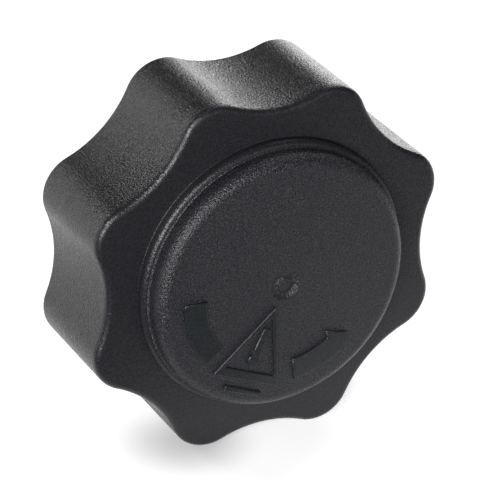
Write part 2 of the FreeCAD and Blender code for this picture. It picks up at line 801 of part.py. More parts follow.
def vacuum_spring():
    """Light spring that holds the vacuum valve shut."""
    body = coil_spring(
        "vacuum_spring",
        "vacuum_spring_radius",
        "vacuum_wire_radius",
        "vacuum_spring_turns",
        "vacuum_spring_length",
        "vacuum_inside",
        "vacuum_outside",
        "vacuum_ground_off",
        "vacuum_top_cut",
    )
    seat(body, "vacuum_spring", "spring_level")
    return body


def vacuum_clip():
    """Push-on spring washer in the stem's groove, slotted from its hole."""
    body = new_body("vacuum_clip")
    revolve(
        body,
        "washer",
        [
            ("clip_hole_radius", DATUM),
            ("clip_radius", DATUM),
            ("clip_radius", "clip_thickness"),
            ("clip_hole_radius", "clip_thickness"),
        ],
    )
    outline = new_sketch(body, "clip_slot_outline", "XY_Plane")
    block_outline(outline, "clip_slot_start", "clip_slot_end", "clip_slot_width")
    slot = straight_cut(body, "clip_slot", outline, "clip_thickness")
    ring_of(body, "clip_slots", slot, "clip_slot_count")
    seat(body, "vacuum_clip", "clip_level")
    return body


def build():
    """Make every piece, from the outside in."""
    return [
        cap_shell(),
        valve_pot(),
        pot_cover(),
        neck_oring(),
        pressure_spring(),
        pressure_plate(),
        pressure_seal(),
        vacuum_valve(),
        vacuum_spring(),
        vacuum_clip(),
    ]


def check(pieces):
    """Stop if any object failed, or if a piece isn't one valid solid."""
    for item in document.Objects:
        if "Invalid" in item.State or "Error" in item.State:
            raise RuntimeError(f"{item.Name} failed: {item.State}")
    for item in document.Objects:
        if item.TypeId == "Sketcher::SketchObject" and not item.FullyConstrained:
            raise RuntimeError(f"{item.Name} isn't fully constrained")
    for piece in pieces:
        shape = piece.Shape
        if shape.isNull() or not shape.isValid() or len(shape.Solids) != 1:
            raise RuntimeError(f"{piece.Label} isn't one valid solid")


def write(pieces):
    os.makedirs("parts", exist_ok=True)
    for piece in pieces:
        piece.Shape.exportStep(f"parts/{piece.Label}.step")
        box = piece.Shape.BoundBox
        print(
            f"{piece.Label}: {piece.Shape.Volume:.1f} mm3,"
            f" Y {box.YMin:.2f} to {box.YMax:.2f}, Z {box.ZMin:.2f} to {box.ZMax:.2f}"
        )


pieces = build()
document.recompute()
check(pieces)
write(pieces)
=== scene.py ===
import math

import bpy
from mathutils import Matrix, Vector
from mathutils.geometry import delaunay_2d_cdt

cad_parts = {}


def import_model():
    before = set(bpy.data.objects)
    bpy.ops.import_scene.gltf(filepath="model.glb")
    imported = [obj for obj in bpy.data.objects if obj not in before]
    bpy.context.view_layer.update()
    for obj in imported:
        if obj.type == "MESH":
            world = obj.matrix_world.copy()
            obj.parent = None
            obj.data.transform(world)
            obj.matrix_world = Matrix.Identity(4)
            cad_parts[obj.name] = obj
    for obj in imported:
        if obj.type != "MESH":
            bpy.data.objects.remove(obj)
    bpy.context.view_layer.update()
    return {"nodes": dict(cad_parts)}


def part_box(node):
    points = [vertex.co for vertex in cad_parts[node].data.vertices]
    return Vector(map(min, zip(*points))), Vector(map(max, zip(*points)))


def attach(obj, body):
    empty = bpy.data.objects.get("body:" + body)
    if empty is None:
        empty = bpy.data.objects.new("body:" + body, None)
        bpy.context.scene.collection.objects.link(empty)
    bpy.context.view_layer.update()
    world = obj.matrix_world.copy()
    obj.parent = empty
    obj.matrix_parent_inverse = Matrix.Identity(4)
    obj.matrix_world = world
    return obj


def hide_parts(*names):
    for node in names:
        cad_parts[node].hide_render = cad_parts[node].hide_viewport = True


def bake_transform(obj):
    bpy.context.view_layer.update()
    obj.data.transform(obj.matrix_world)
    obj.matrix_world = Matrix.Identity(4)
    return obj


# Looks of the expansion tank cap. Metres and radians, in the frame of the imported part:
# +Z is up, the closed face looks along -Y, and the cap's axis is parallel to Y.

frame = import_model()

MM = 0.001
DEGREE = math.pi / 180

# Places read from the frame.
shell_low, shell_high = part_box("cap_shell")
pot_low, pot_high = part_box("valve_pot")
ring_low, ring_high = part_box("neck_oring")
FACE = shell_low.y
RIM = shell_high.y
AXIS_HEIGHT = (pot_low.z + pot_high.z) / 2

# Grip, as in the solid: lobes and hollows as tangent arcs, drawn at the flange.
LOBE_COUNT = 8
LOBE_ARC = 7.04 * MM
LOBE_CENTRE = 27.96 * MM
HOLLOW_ARC = 22.15 * MM
SKIRT_DEPTH = 22.4 * MM
DRAFT = 0.83 * DEGREE
FLANGE = RIM - SKIRT_DEPTH
FRONT_ROUND = 1.2 * MM
FLANGE_EDGE = 1.9 * MM
RIM_ROUND = 0.4 * MM
RIM_LAND = 0.9 * MM
GRIP_WALL = 2.2 * MM
POCKET_CORNER = 0.8 * MM
POCKET_EDGE = 0.25 * MM
POCKET_FOOT = 0.5 * MM
POCKET_FLOOR_EDGE = 1.2 * POCKET_FOOT
WALL_STEPS = 16
CORNER_STEPS = 8
BACK_STEPS = 8
LOBE_STEPS = 16
HOLLOW_STEPS = 20
ARC_STEP = 10 * DEGREE

# Closed face.
LEDGE_RADIUS = 25.3 * MM
LEDGE_TOP = FLANGE - 1.8 * MM
LEDGE_ROUND = 1.1 * MM
LEDGE_FOOT = 0.12 * MM
LEDGE_APRON = 3 * LEDGE_FOOT
DISC_RADIUS = 23.95 * MM
DISC_FOOT = 0.25 * MM
DISC_ROUND = 2.2 * MM
GATE_RADIUS = 2.9 * MM
GATE_RING = 1.9 * MM
GATE_NUB = 0.9 * MM
GATE_DEPTH = 0.65 * MM
GATE_MIDDLE = 0.25 * MM
GATE_ROUND = 0.8 * MM
GATE_CENTRE = GATE_NUB / 3

# Inside of the shell.
INNER_STEPS = 240
THREAD_ROOT = 26.1 * MM
THREAD_LEAD = 1.2 * MM
MOUTH_LAND = 0.45 * MM
SLEEVE = 28.3 * MM
COLLAR_RADIUS = 22.6 * MM
COLLAR_BORE = 20.7 * MM
COLLAR_END = RIM - 14.5 * MM
LIP_RADIUS = 19.8 * MM
LIP_LEAD = 0.9 * MM
LIP_TOP = COLLAR_END - 1.6 * MM
THRUST_RADIUS = 17.0 * MM
THRUST_BORE = 15.5 * MM
ROOF_RING = THRUST_BORE / 2
THRUST_END = RIM - 19.8 * MM
ROOF = RIM - 25.3 * MM
SMALL_EDGE = 0.2 * MM
INNER_CORNER = 0.35 * MM

# Thread rib: right-hand, for a neck whose thread is 52 mm across.
THREAD_CREST = 24.6 * MM
THREAD_PITCH = 4.0 * MM
THREAD_TURNS = 2.6
THREAD_START = RIM - 2.9 * MM
THREAD_FOOT_HALF = 1.2 * MM
THREAD_CREST_HALF = 0.55 * MM
THREAD_SUNK = 0.2 * MM
THREAD_RUN_OUT = 25 * DEGREE
THREAD_STEP = 3 * DEGREE


def on_axis(depth):
    """Point on the cap's axis."""
    return Vector((0, depth, AXIS_HEIGHT))


def polar(radius, angle):
    return Vector((radius * math.cos(angle), radius * math.sin(angle)))


def placed(flat, depth):
    """A flat point, measured from the cap's axis, at a depth along Y."""
    return Vector((flat.x, depth, AXIS_HEIGHT + flat.y))


def rounded(corners):
    """Outline through corners, each (across, along, radius), with an arc at each radius."""
    points = []
    last = len(corners) - 1
    for index, (across, along, radius) in enumerate(corners):
        corner = Vector((across, along))
        if radius == 0 or index in (0, last):
            points.append(corner)
            continue
        before = (Vector(corners[index - 1][:2]) - corner).normalized()
        after = (Vector(corners[index + 1][:2]) - corner).normalized()
        half_angle = before.angle(after) / 2
        centre = corner + (before + after).normalized() * (radius / math.sin(half_angle))
        start = corner + before * (radius / math.tan(half_angle)) - centre
        turn = start.angle_signed(corner + after * (radius / math.tan(half_angle)) - centre)
        steps = max(2, math.ceil(abs(turn) / ARC_STEP))
        for step in range(steps + 1):
            points.append(centre + Matrix.Rotation(-turn * step / steps, 2) @ start)
    return points


# Distance under which two points of a flat face count as one, and how far large faces lead
# the shading of the edges beside them.
SAME_POINT = 1e-9
LARGE_FACE_WEIGHT = 50


class Surface:
    """Points and faces of a mesh while it is drawn."""

    def __init__(self):
        self.points = []
        self.faces = []

    def ring(self, points):
        """Add a closed row of points and return their numbers."""
        first = len(self.points)
        self.points.extend(points)
        return list(range(first, len(self.points)))

    def skin(self, rings):
        """Quads between each ring and the next."""
        for near, far in zip(rings, rings[1:]):
            count = len(near)
            for index in range(count):
                following = (index + 1) % count
                self.faces.append((near[index], near[following], far[following], far[index]))

    def close_to(self, ring, point):
        """Fan from a ring to one point."""
        self.points.append(point)
        tip = len(self.points) - 1
        for index, corner in enumerate(ring):
            self.faces.append((corner, ring[(index + 1) % len(ring)], tip))

    def fill(self, *rings):
        """Flat face across the first ring, with the other rings as holes in it."""
        numbers = [number for ring in rings for number in ring]
        flat = [Vector((self.points[number].x, self.points[number].z)) for number in numbers]
        edges = []
        start = 0
        for ring in rings:
            count = len(ring)
            edges.extend((start + index, start + (index + 1) % count) for index in range(count))
            start += count
        corners, _, triangles, _, _, _ = delaunay_2d_cdt(flat, edges, [], 0, SAME_POINT)
        for triangle in triangles:
            middle = sum((corners[corner] for corner in triangle), Vector((0, 0))) / 3
            crossings = sum(crosses(middle, flat[low], flat[high]) for low, high in edges)
            if crossings % 2:
                self.faces.append(tuple(numbers[corner] for corner in triangle))

    def to_object(self, name, material, body):
        mesh = bpy.data.meshes.new(name)
        mesh.from_pydata(self.points, [], self.faces)
        return finished(mesh, name, material, body)


def crosses(point, start, end):
    """True if a ray from the point along +X crosses the edge."""
    if (start.y > point.y) == (end.y > point.y):
        return False
    share = (point.y - start.y) / (end.y - start.y)
    return point.x < start.x + share * (end.x - start.x)


def finished(mesh, name, material, body):
    """Object of a closed mesh: outward faces, smooth shading that flat faces lead."""
    mesh.validate()
    piece = bpy.data.objects.new(name, mesh)
    bpy.context.scene.collection.objects.link(piece)
    bpy.context.view_layer.objects.active = piece
    bpy.ops.object.mode_set(mode="EDIT")
    bpy.ops.mesh.select_all(action="SELECT")
    bpy.ops.mesh.normals_make_consistent(inside=False)
    bpy.ops.object.mode_set(mode="OBJECT")
    mesh.shade_smooth()
    weighted = piece.modifiers.new("weighted_normals", "WEIGHTED_NORMAL")
    weighted.mode = "FACE_AREA"
    weighted.weight = LARGE_FACE_WEIGHT
    mesh.materials.append(material)
    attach(piece, body)
    return piece


# Materials.

# Noise lies mostly between these two values, and a ramp between two colours is steeper.
NOISE_LOW = 0.3
NOISE_HIGH = 0.7
RAMP_LOW = 0.35
RAMP_HIGH = 0.65

# Broad, low waves, which keep moulded surfaces from looking perfectly flat.
WAVE_SIZE = 9 * MM
WAVE_DEPTH = 0.3 * MM
WAVE_STRENGTH = 0.1

# Grained plastic of the grip. Tones and roughs go from the skirt over the face to the disc,
# and the marks on the disc have a tone of their own.
GRIP_SPECULAR = 0.3
SKIRT_TONE = (0.0080, 0.0080, 0.0090)
FACE_TONE = (0.0105, 0.0105, 0.0127)
DISC_TONE = (0.0128, 0.0128, 0.0158)
MARK_TONE = (0.0112, 0.0128, 0.0142)
GRIP_ROUGHS = (0.30, 0.29, 0.28)
ROUGH_CONTRAST = 0.12
GRAIN_SIZE = 0.31 * MM
GRAIN_DEPTH = 0.22 * MM
DUST_SIZE = 0.3 * MM
FACE_ZONE_START = FLANGE + 1.2 * FRONT_ROUND
FACE_ZONE_END = FLANGE + 0.8 * FRONT_ROUND
DISC_ZONE_EDGE = 0.5 * MM

# Smooth plastic.
MOTTLE_SIZE = 6 * MM
EDGE_SOFTNESS = 0.15 * MM
EDGE_SAMPLES = 4

# Rubber.
RUBBER_MOTTLE_SIZE = 2 * MM
RUBBER_GRAIN_SIZE = 0.2 * MM
RUBBER_GRAIN_DEPTH = 0.01 * MM
RUBBER_GRAIN_STRENGTH = 0.6

# Metals.
STREAK_SIZE = 1.0 * MM
STREAK_STRETCH = (1, 6, 1)
STREAK_DEPTH = 0.01 * MM
STREAK_STRENGTH = 0.5
GROOVE_SPACING = 2.5 * MM
GROOVE_WANDER = 0.4
GROOVE_DEPTH = 0.01 * MM
TARNISH_SIZE = 3.0 * MM


def new_material(name):
    """A material with a principled shader, and its node tree and shader."""
    material = bpy.data.materials.new(name)
    material.use_nodes = True
    return material, material.node_tree, material.node_tree.nodes["Principled BSDF"]


def object_point(tree):
    return tree.nodes.new("ShaderNodeTexCoord").outputs["Object"]


def noise(tree, vector, size, detail):
    node = tree.nodes.new("ShaderNodeTexNoise")
    node.inputs["Scale"].default_value = 1 / size
    node.inputs["Detail"].default_value = detail
    tree.links.new(vector, node.inputs["Vector"])
    return node.outputs["Fac"]


def spread(tree, value, low, high):
    """Map a noise on a range."""
    node = tree.nodes.new("ShaderNodeMapRange")
    node.inputs["From Min"].default_value = NOISE_LOW
    node.inputs["From Max"].default_value = NOISE_HIGH
    node.inputs["To Min"].default_value = low
    node.inputs["To Max"].default_value = high
    tree.links.new(value, node.inputs["Value"])
    return node.outputs["Result"]


def blend_colours(tree, value, low, high):
    """Map a noise on the colours between two."""
    ramp = tree.nodes.new("ShaderNodeValToRGB")
    ramp.color_ramp.elements[0].position = RAMP_LOW
    ramp.color_ramp.elements[0].color = (*low, 1)
    ramp.color_ramp.elements[1].position = RAMP_HIGH
    ramp.color_ramp.elements[1].color = (*high, 1)
    tree.links.new(value, ramp.inputs["Fac"])
    return ramp.outputs["Color"]


def bump(tree, height, distance, strength, before=None):
    node = tree.nodes.new("ShaderNodeBump")
    node.inputs["Distance"].default_value = distance
    node.inputs["Strength"].default_value = strength
    tree.links.new(height, node.inputs["Height"])
    if before:
        tree.links.new(before, node.inputs["Normal"])
    return node.outputs["Normal"]


def broad_waves(tree, point, before=None):
    return bump(tree, noise(tree, point, WAVE_SIZE, detail=1), WAVE_DEPTH, WAVE_STRENGTH, before)


def mixed(tree, share, kind, first, second):
    """Blend of two sockets, or of two plain values, of one kind."""
    node = tree.nodes.new("ShaderNodeMix")
    node.data_type = kind
    tree.links.new(share, node.inputs["Factor"])
    shown = [socket for socket in node.inputs if socket.name in ("A", "B") and socket.enabled]
    for socket, value in zip(shown, (first, second)):
        if isinstance(value, bpy.types.NodeSocket):
            tree.links.new(value, socket)
        else:
            socket.default_value = value
    return next(socket for socket in node.outputs if socket.enabled)


def step_between(tree, value, start, end):
    """0 up to the start and 1 from the end, smooth between them."""
    node = tree.nodes.new("ShaderNodeMapRange")
    node.interpolation_type = "SMOOTHSTEP"
    node.inputs["From Min"].default_value = start
    node.inputs["From Max"].default_value = end
    tree.links.new(value, node.inputs["Value"])
    return node.outputs["Result"]


def calculated(tree, operation, first, second):
    """Number that an operation makes of two numbers."""
    node = tree.nodes.new("ShaderNodeMath")
    node.operation = operation
    tree.links.new(first, node.inputs[0])
    tree.links.new(second, node.inputs[1])
    return node.outputs["Value"]


def measured(tree, operation, vector, other):
    """Number that an operation makes of a vector and a fixed one."""
    node = tree.nodes.new("ShaderNodeVectorMath")
    node.operation = operation
    node.inputs[1].default_value = other
    tree.links.new(vector, node.inputs[0])
    return node.outputs["Value"]


def grip_zones(tree, point):
    """Shares of the closed face's front and of its raised disc."""
    parts = tree.nodes.new("ShaderNodeSeparateXYZ")
    tree.links.new(point, parts.inputs["Vector"])
    front = step_between(tree, parts.outputs["Y"], FACE_ZONE_START, FACE_ZONE_END)
    flat = tree.nodes.new("ShaderNodeVectorMath")
    flat.operation = "MULTIPLY"
    flat.inputs[1].default_value = (1, 0, 1)
    tree.links.new(point, flat.inputs[0])
    radius = measured(tree, "DISTANCE", flat.outputs["Vector"], on_axis(0))
    disc = step_between(tree, radius, DISC_RADIUS + DISC_ZONE_EDGE, DISC_RADIUS)
    return front, calculated(tree, "MULTIPLY", front, disc)


def by_zone(tree, zones, kind, values):
    """One value for the skirt, one for the closed face and one for its disc."""
    front, disc = zones
    return mixed(tree, disc, kind, mixed(tree, front, kind, *values[:2]), values[2])


def grained_plastic(name, tones, grains, dusts):
    """Grained black plastic. Tones, grains and dusts go from skirt to face to disc."""
    material, tree, shader = new_material(name)
    shader.inputs["Specular IOR Level"].default_value = GRIP_SPECULAR
    point = object_point(tree)
    zones = grip_zones(tree, point)
    tone = by_zone(tree, zones, "RGBA", [(*tone, 1) for tone in tones])
    dust = spread(tree, noise(tree, point, DUST_SIZE, detail=1), low=-1, high=1)
    amount = calculated(tree, "MULTIPLY", dust, by_zone(tree, zones, "FLOAT", dusts))
    shaded = tree.nodes.new("ShaderNodeVectorMath")
    shaded.operation = "MULTIPLY_ADD"
    for socket, value in zip(shaded.inputs, (tone, amount, tone)):
        tree.links.new(value, socket)
    tree.links.new(shaded.outputs["Vector"], shader.inputs["Base Color"])
    grain = noise(tree, point, GRAIN_SIZE, detail=2)
    wear = spread(tree, grain, low=-ROUGH_CONTRAST, high=ROUGH_CONTRAST)
    rough = calculated(tree, "ADD", by_zone(tree, zones, "FLOAT", GRIP_ROUGHS), wear)
    tree.links.new(rough, shader.inputs["Roughness"])
    height = calculated(tree, "MULTIPLY", grain, by_zone(tree, zones, "FLOAT", grains))
    waves = broad_waves(tree, point)
    fine = bump(tree, height, GRAIN_DEPTH, strength=1.0, before=waves)
    tree.links.new(fine, shader.inputs["Normal"])
    return material


def smooth_plastic(name, low, high, rough):
    """Smooth moulded plastic, whose sharp edges look slightly worn."""
    material, tree, shader = new_material(name)
    point = object_point(tree)
    tone = noise(tree, point, MOTTLE_SIZE, detail=3)
    tree.links.new(blend_colours(tree, tone, low, high), shader.inputs["Base Color"])
    tree.links.new(spread(tree, tone, *rough), shader.inputs["Roughness"])
    softened = tree.nodes.new("ShaderNodeBevel")
    softened.samples = EDGE_SAMPLES
    softened.inputs["Radius"].default_value = EDGE_SOFTNESS
    tree.links.new(broad_waves(tree, point, softened.outputs["Normal"]), shader.inputs["Normal"])
    return material


def rubber(name, low, high, rough):
    """Moulded rubber with a fine, shallow grain."""
    material, tree, shader = new_material(name)
    point = object_point(tree)
    tone = noise(tree, point, RUBBER_MOTTLE_SIZE, detail=4)
    tree.links.new(blend_colours(tree, tone, low, high), shader.inputs["Base Color"])
    tree.links.new(spread(tree, tone, *rough), shader.inputs["Roughness"])
    grain = noise(tree, point, RUBBER_GRAIN_SIZE, detail=2)
    fine = bump(tree, grain, RUBBER_GRAIN_DEPTH, RUBBER_GRAIN_STRENGTH)
    tree.links.new(fine, shader.inputs["Normal"])
    return material


def drawn_metal(name, low, high, rough):
    """Drawn metal with fine streaks."""
    material, tree, shader = new_material(name)
    shader.inputs["Metallic"].default_value = 1.0
    scaled = tree.nodes.new("ShaderNodeMapping")
    scaled.inputs["Scale"].default_value = STREAK_STRETCH
    tree.links.new(object_point(tree), scaled.inputs["Vector"])
    streaks = noise(tree, scaled.outputs["Vector"], STREAK_SIZE, detail=3)
    tree.links.new(blend_colours(tree, streaks, low, high), shader.inputs["Base Color"])
    tree.links.new(spread(tree, streaks, *rough), shader.inputs["Roughness"])
    tree.links.new(bump(tree, streaks, STREAK_DEPTH, STREAK_STRENGTH), shader.inputs["Normal"])
    return material


def turned_metal(name, low, high, rough):
    """Turned metal, with fine grooves around the cap's axis."""
    material, tree, shader = new_material(name)
    shader.inputs["Metallic"].default_value = 1.0
    from_axis = tree.nodes.new("ShaderNodeMapping")
    from_axis.inputs["Location"].default_value = (0, 0, -AXIS_HEIGHT)
    tree.links.new(object_point(tree), from_axis.inputs["Vector"])
    grooves = tree.nodes.new("ShaderNodeTexWave")
    grooves.wave_type = "RINGS"
    grooves.rings_direction = "Y"
    grooves.inputs["Scale"].default_value = 1 / GROOVE_SPACING
    grooves.inputs["Distortion"].default_value = GROOVE_WANDER
    tree.links.new(from_axis.outputs["Vector"], grooves.inputs["Vector"])
    tone = noise(tree, from_axis.outputs["Vector"], TARNISH_SIZE, detail=3)
    tree.links.new(blend_colours(tree, tone, low, high), shader.inputs["Base Color"])
    tree.links.new(spread(tree, tone, *rough), shader.inputs["Roughness"])
    fine = bump(tree, grooves.outputs["Fac"], GROOVE_DEPTH, strength=1.0)
    tree.links.new(fine, shader.inputs["Normal"])
    return material


grip_plastic = grained_plastic(
    "grip_plastic_grained",
    tones=(SKIRT_TONE, FACE_TONE, DISC_TONE),
    grains=(1.1, 0.45, 1.0),
    dusts=(0.6, 0.3, 0.75),
)
mark_plastic = grained_plastic(
    "grip_plastic_smooth",
    tones=(SKIRT_TONE, FACE_TONE, MARK_TONE),
    grains=(0.3, 0.3, 0.15),
    dusts=(0.2, 0.2, 0.2),
)
insert_plastic = smooth_plastic(
    "insert_plastic_smooth",
    low=(0.012, 0.012, 0.013),
    high=(0.018, 0.018, 0.019),
    rough=(0.28, 0.38),
)
plate_plastic = smooth_plastic(
    "plate_plastic_natural",
    low=(0.50, 0.48, 0.43),
    high=(0.60, 0.58, 0.53),
    rough=(0.32, 0.42),
)
seal_rubber = rubber(
    "seal_rubber_black",
    low=(0.008, 0.008, 0.009),
    high=(0.016, 0.016, 0.017),
    rough=(0.36, 0.50),
)
spring_steel = drawn_metal(
    "spring_steel_drawn",
    low=(0.50, 0.50, 0.51),
    high=(0.66, 0.66, 0.66),
    rough=(0.18, 0.32),
)
poppet_brass = turned_metal(
    "poppet_brass_turned",
    low=(0.64, 0.48, 0.22),
    high=(0.72, 0.55, 0.27),
    rough=(0.24, 0.34),
)


# Shell.


def lobed_outline(grow):
    """The grip's outline at the flange, moved outwards by a distance."""
    half = math.pi / LOBE_COUNT
    aside = LOBE_CENTRE * math.sin(half)
    reach = math.sqrt((LOBE_ARC + HOLLOW_ARC) ** 2 - aside**2)
    hollow_centre = LOBE_CENTRE * math.cos(half) + reach
    sideways = hollow_centre * math.sin(half)
    lobe_span = math.atan2(sideways, hollow_centre * math.cos(half) - LOBE_CENTRE)
    hollow_span = lobe_span - half
    points = []
    for index in range(LOBE_COUNT):
        lobe_angle = (2 * index + 1) * half
        centre = polar(LOBE_CENTRE, lobe_angle)
        for step in range(LOBE_STEPS):
            angle = lobe_angle - lobe_span + 2 * lobe_span * step / LOBE_STEPS
            points.append(centre + polar(LOBE_ARC + grow, angle))
        inward = lobe_angle + half + math.pi
        centre = polar(hollow_centre, lobe_angle + half)
        for step in range(HOLLOW_STEPS):
            angle = inward + hollow_span - 2 * hollow_span * step / HOLLOW_STEPS
            points.append(centre + polar(HOLLOW_ARC - grow, angle))
    return points


def pocket_outline(lobe_angle, grow):
    """The cored pocket behind one lobe, widened by a distance."""
    wall_arc = LOBE_ARC - GRIP_WALL
    corner_radius = SLEEVE + POCKET_CORNER
    inner_side = wall_arc - POCKET_CORNER
    square = corner_radius**2 + LOBE_CENTRE**2 - inner_side**2
    aside = math.acos(square / (2 * corner_radius * LOBE_CENTRE))
    centre = polar(LOBE_CENTRE, lobe_angle)
    low_corner = polar(corner_radius, lobe_angle - aside)
    high_corner = polar(corner_radius, lobe_angle + aside)
    low_wall = math.atan2(*reversed(low_corner - centre))
    high_wall = math.atan2(*reversed(high_corner - centre))
    low_wall = lobe_angle + wrapped(low_wall - lobe_angle)
    high_wall = lobe_angle + wrapped(high_wall - lobe_angle)
    arcs = [
        (centre, wall_arc + grow, low_wall, high_wall, WALL_STEPS),
        (high_corner, POCKET_CORNER + grow, high_wall, lobe_angle + aside + math.pi, CORNER_STEPS),
        (Vector((0, 0)), SLEEVE - grow, lobe_angle + aside, lobe_angle - aside, BACK_STEPS),
        (low_corner, POCKET_CORNER + grow, lobe_angle - aside - math.pi, low_wall, CORNER_STEPS),
    ]
    points = []
    for middle, radius, start, end, steps in arcs:
        for step in range(steps):
            points.append(middle + polar(radius, start + (end - start) * step / steps))
    return points


def wrapped(angle):
    """The same angle between minus half a turn and half a turn."""
    return (angle + math.pi) % (2 * math.pi) - math.pi


def circle(radius, angles, depth):
    return [placed(polar(radius, angle), depth) for angle in angles]


def outer_skin(surface):
    """Grip and closed face, from the rim to the middle. Returns the ring at the rim."""
    spread_at_rim = SKIRT_DEPTH * math.tan(DRAFT)
    grip = rounded(
        [
            (spread_at_rim - RIM_LAND, RIM, 0),
            (spread_at_rim, RIM, RIM_ROUND),
            (0, FLANGE, FRONT_ROUND),
            (-FLANGE_EDGE, FLANGE, 0),
        ]
    )
    rings = []
    for grow, depth in grip:
        rings.append(surface.ring([placed(flat, depth) for flat in lobed_outline(grow)]))
    angles = [math.atan2(flat.y, flat.x) for flat in lobed_outline(-FLANGE_EDGE)]
    face = rounded(
        [
            (LEDGE_RADIUS + LEDGE_APRON, FLANGE, 0),
            (LEDGE_RADIUS, FLANGE, LEDGE_FOOT),
            (LEDGE_RADIUS, LEDGE_TOP, LEDGE_ROUND),
            (DISC_RADIUS, LEDGE_TOP, DISC_FOOT),
            (DISC_RADIUS, FACE, DISC_ROUND),
            (GATE_RADIUS, FACE, GATE_ROUND),
            (GATE_RING, FACE + GATE_DEPTH, GATE_ROUND),
            (GATE_NUB, FACE + GATE_MIDDLE, GATE_ROUND),
            (GATE_CENTRE, FACE + GATE_MIDDLE, 0),
        ]
    )
    rings.extend(surface.ring(circle(radius, angles, depth)) for radius, depth in face)
    surface.skin(rings)
    surface.close_to(rings[-1], on_axis(FACE + GATE_MIDDLE))
    return rings[0]


def inner_skin(surface):
    """Sleeve, snap collar and thrust ring. Returns the ring at the mouth."""
    even = [2 * math.pi * step / INNER_STEPS for step in range(INNER_STEPS)]
    mouth = THREAD_ROOT + THREAD_LEAD
    inside = rounded(
        [
            (mouth + MOUTH_LAND, RIM, 0),
            (mouth, RIM, SMALL_EDGE),
            (THREAD_ROOT, RIM - THREAD_LEAD, SMALL_EDGE),
            (THREAD_ROOT, THRUST_END, INNER_CORNER),
            (COLLAR_RADIUS, THRUST_END, INNER_CORNER),
            (COLLAR_RADIUS, COLLAR_END, SMALL_EDGE),
            (LIP_RADIUS + LIP_LEAD, COLLAR_END, SMALL_EDGE),
            (LIP_RADIUS, COLLAR_END - LIP_LEAD, SMALL_EDGE),
            (LIP_RADIUS, LIP_TOP, SMALL_EDGE),
            (COLLAR_BORE, LIP_TOP, SMALL_EDGE),
            (COLLAR_BORE, ROOF, INNER_CORNER),
            (THRUST_RADIUS, ROOF, INNER_CORNER),
            (THRUST_RADIUS, THRUST_END, SMALL_EDGE),
            (THRUST_BORE, THRUST_END, SMALL_EDGE),
            (THRUST_BORE, ROOF, INNER_CORNER),
            (ROOF_RING, ROOF, 0),
        ]
    )
    rings = [surface.ring(circle(radius, even, depth)) for radius, depth in inside]
    surface.skin(rings)
    surface.close_to(rings[-1], on_axis(ROOF))
    return rings[0]


def pocket_skin(surface, lobe_angle):
    """Cored pocket behind one lobe. Returns the ring at its mouth."""
    profile = rounded(
        [
            (2 * POCKET_EDGE, RIM, 0),
            (0, RIM, POCKET_EDGE),
            (0, THRUST_END, POCKET_FOOT),
            (-POCKET_FLOOR_EDGE, THRUST_END, 0),
        ]
    )
    # The first point lies on the flat rim and only leads into the round at the mouth.
    wall = profile[1:]
    rings = []
    for grow, depth in wall:
        outline = pocket_outline(lobe_angle, grow)
        rings.append(surface.ring([placed(flat, depth) for flat in outline]))
    surface.skin(rings)
    surface.fill(rings[-1])
    return rings[0]


def cap_shell_skin():
    """The moulded shell with its small rounds, as one closed skin."""
    surface = Surface()
    rim = outer_skin(surface)
    openings = [inner_skin(surface)]
    for index in range(LOBE_COUNT):
        openings.append(pocket_skin(surface, (2 * index + 1) * math.pi / LOBE_COUNT))
    surface.fill(rim, *openings)
    shell = surface.to_object("cap_shell_skin", grip_plastic, "cap")
    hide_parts("cap_shell")


def neck_thread():
    """Right-hand rib inside the sleeve, which runs out at both ends."""
    surface = Surface()
    whole_turn = 2 * math.pi * THREAD_TURNS
    steps = round(whole_turn / THREAD_STEP)
    crest = THREAD_CREST - THREAD_ROOT
    section = rounded(
        [
            (THREAD_SUNK, -THREAD_FOOT_HALF, 0),
            (crest, -THREAD_CREST_HALF, SMALL_EDGE),
            (crest, THREAD_CREST_HALF, SMALL_EDGE),
            (THREAD_SUNK, THREAD_FOOT_HALF, 0),
        ]
    )
    rows = []
    for step in range(steps + 1):
        angle = whole_turn * step / steps
        from_end = min(angle, whole_turn - angle)
        height = math.sin(min(1, from_end / THREAD_RUN_OUT) * math.pi / 2)
        depth = THREAD_START - THREAD_PITCH * angle / (2 * math.pi)
        row = []
        for inward, along in section:
            radius = THREAD_ROOT + max(inward, 0) + min(inward, 0) * height
            row.append(placed(polar(radius, math.pi / 2 - angle), depth + along))
        rows.append(surface.ring(row))
    surface.skin(rows)
    for row in (rows[0], rows[-1]):
        surface.faces.append(tuple(row))
    surface.to_object("neck_thread", grip_plastic, "cap")


cap_shell_skin()
neck_thread()


# Relief marks on the closed face. Each is drawn flat, as seen from the front: outwards
# from the cap's axis along the marks' own middle line, and sideways from that line.

MARKS_ANGLE = -112.5 * DEGREE
MARK_HEIGHT = 0.45 * MM
MARK_SUNK = 0.30 * MM
MARK_EDGE = 0.24 * MM
BAR_EDGE = 0.36 * MM
MARK_EDGE_STEPS = 3
MARK_CORNER = 0.25 * MM
TURN_INNER = 15.05 * MM
TURN_OUTER = 19.25 * MM
TURN_STEP = 2 * DEGREE
BULB_STEPS = 24


def turned(outward, sideways):
    """Flat point from its distances along and beside the marks' middle line."""
    return Matrix.Rotation(MARKS_ANGLE, 2) @ Vector((outward, sideways))


def arc_points(radius, start, end):
    steps = math.ceil(abs(end - start) / TURN_STEP)
    return [polar(radius, start + (end - start) * step / steps) for step in range(steps + 1)]


def soft_corner(before, corner, after, radius):
    """Arc that rounds a corner between its two neighbours."""
    return rounded([(*before, 0), (*corner, radius), (*after, 0)])[1:-1]


def soft_corners(corners, radius):
    """Closed outline with each corner rounded."""
    points = []
    for index, corner in enumerate(corners):
        after = corners[(index + 1) % len(corners)]
        points.extend(soft_corner(corners[index - 1], corner, after, radius))
    return points


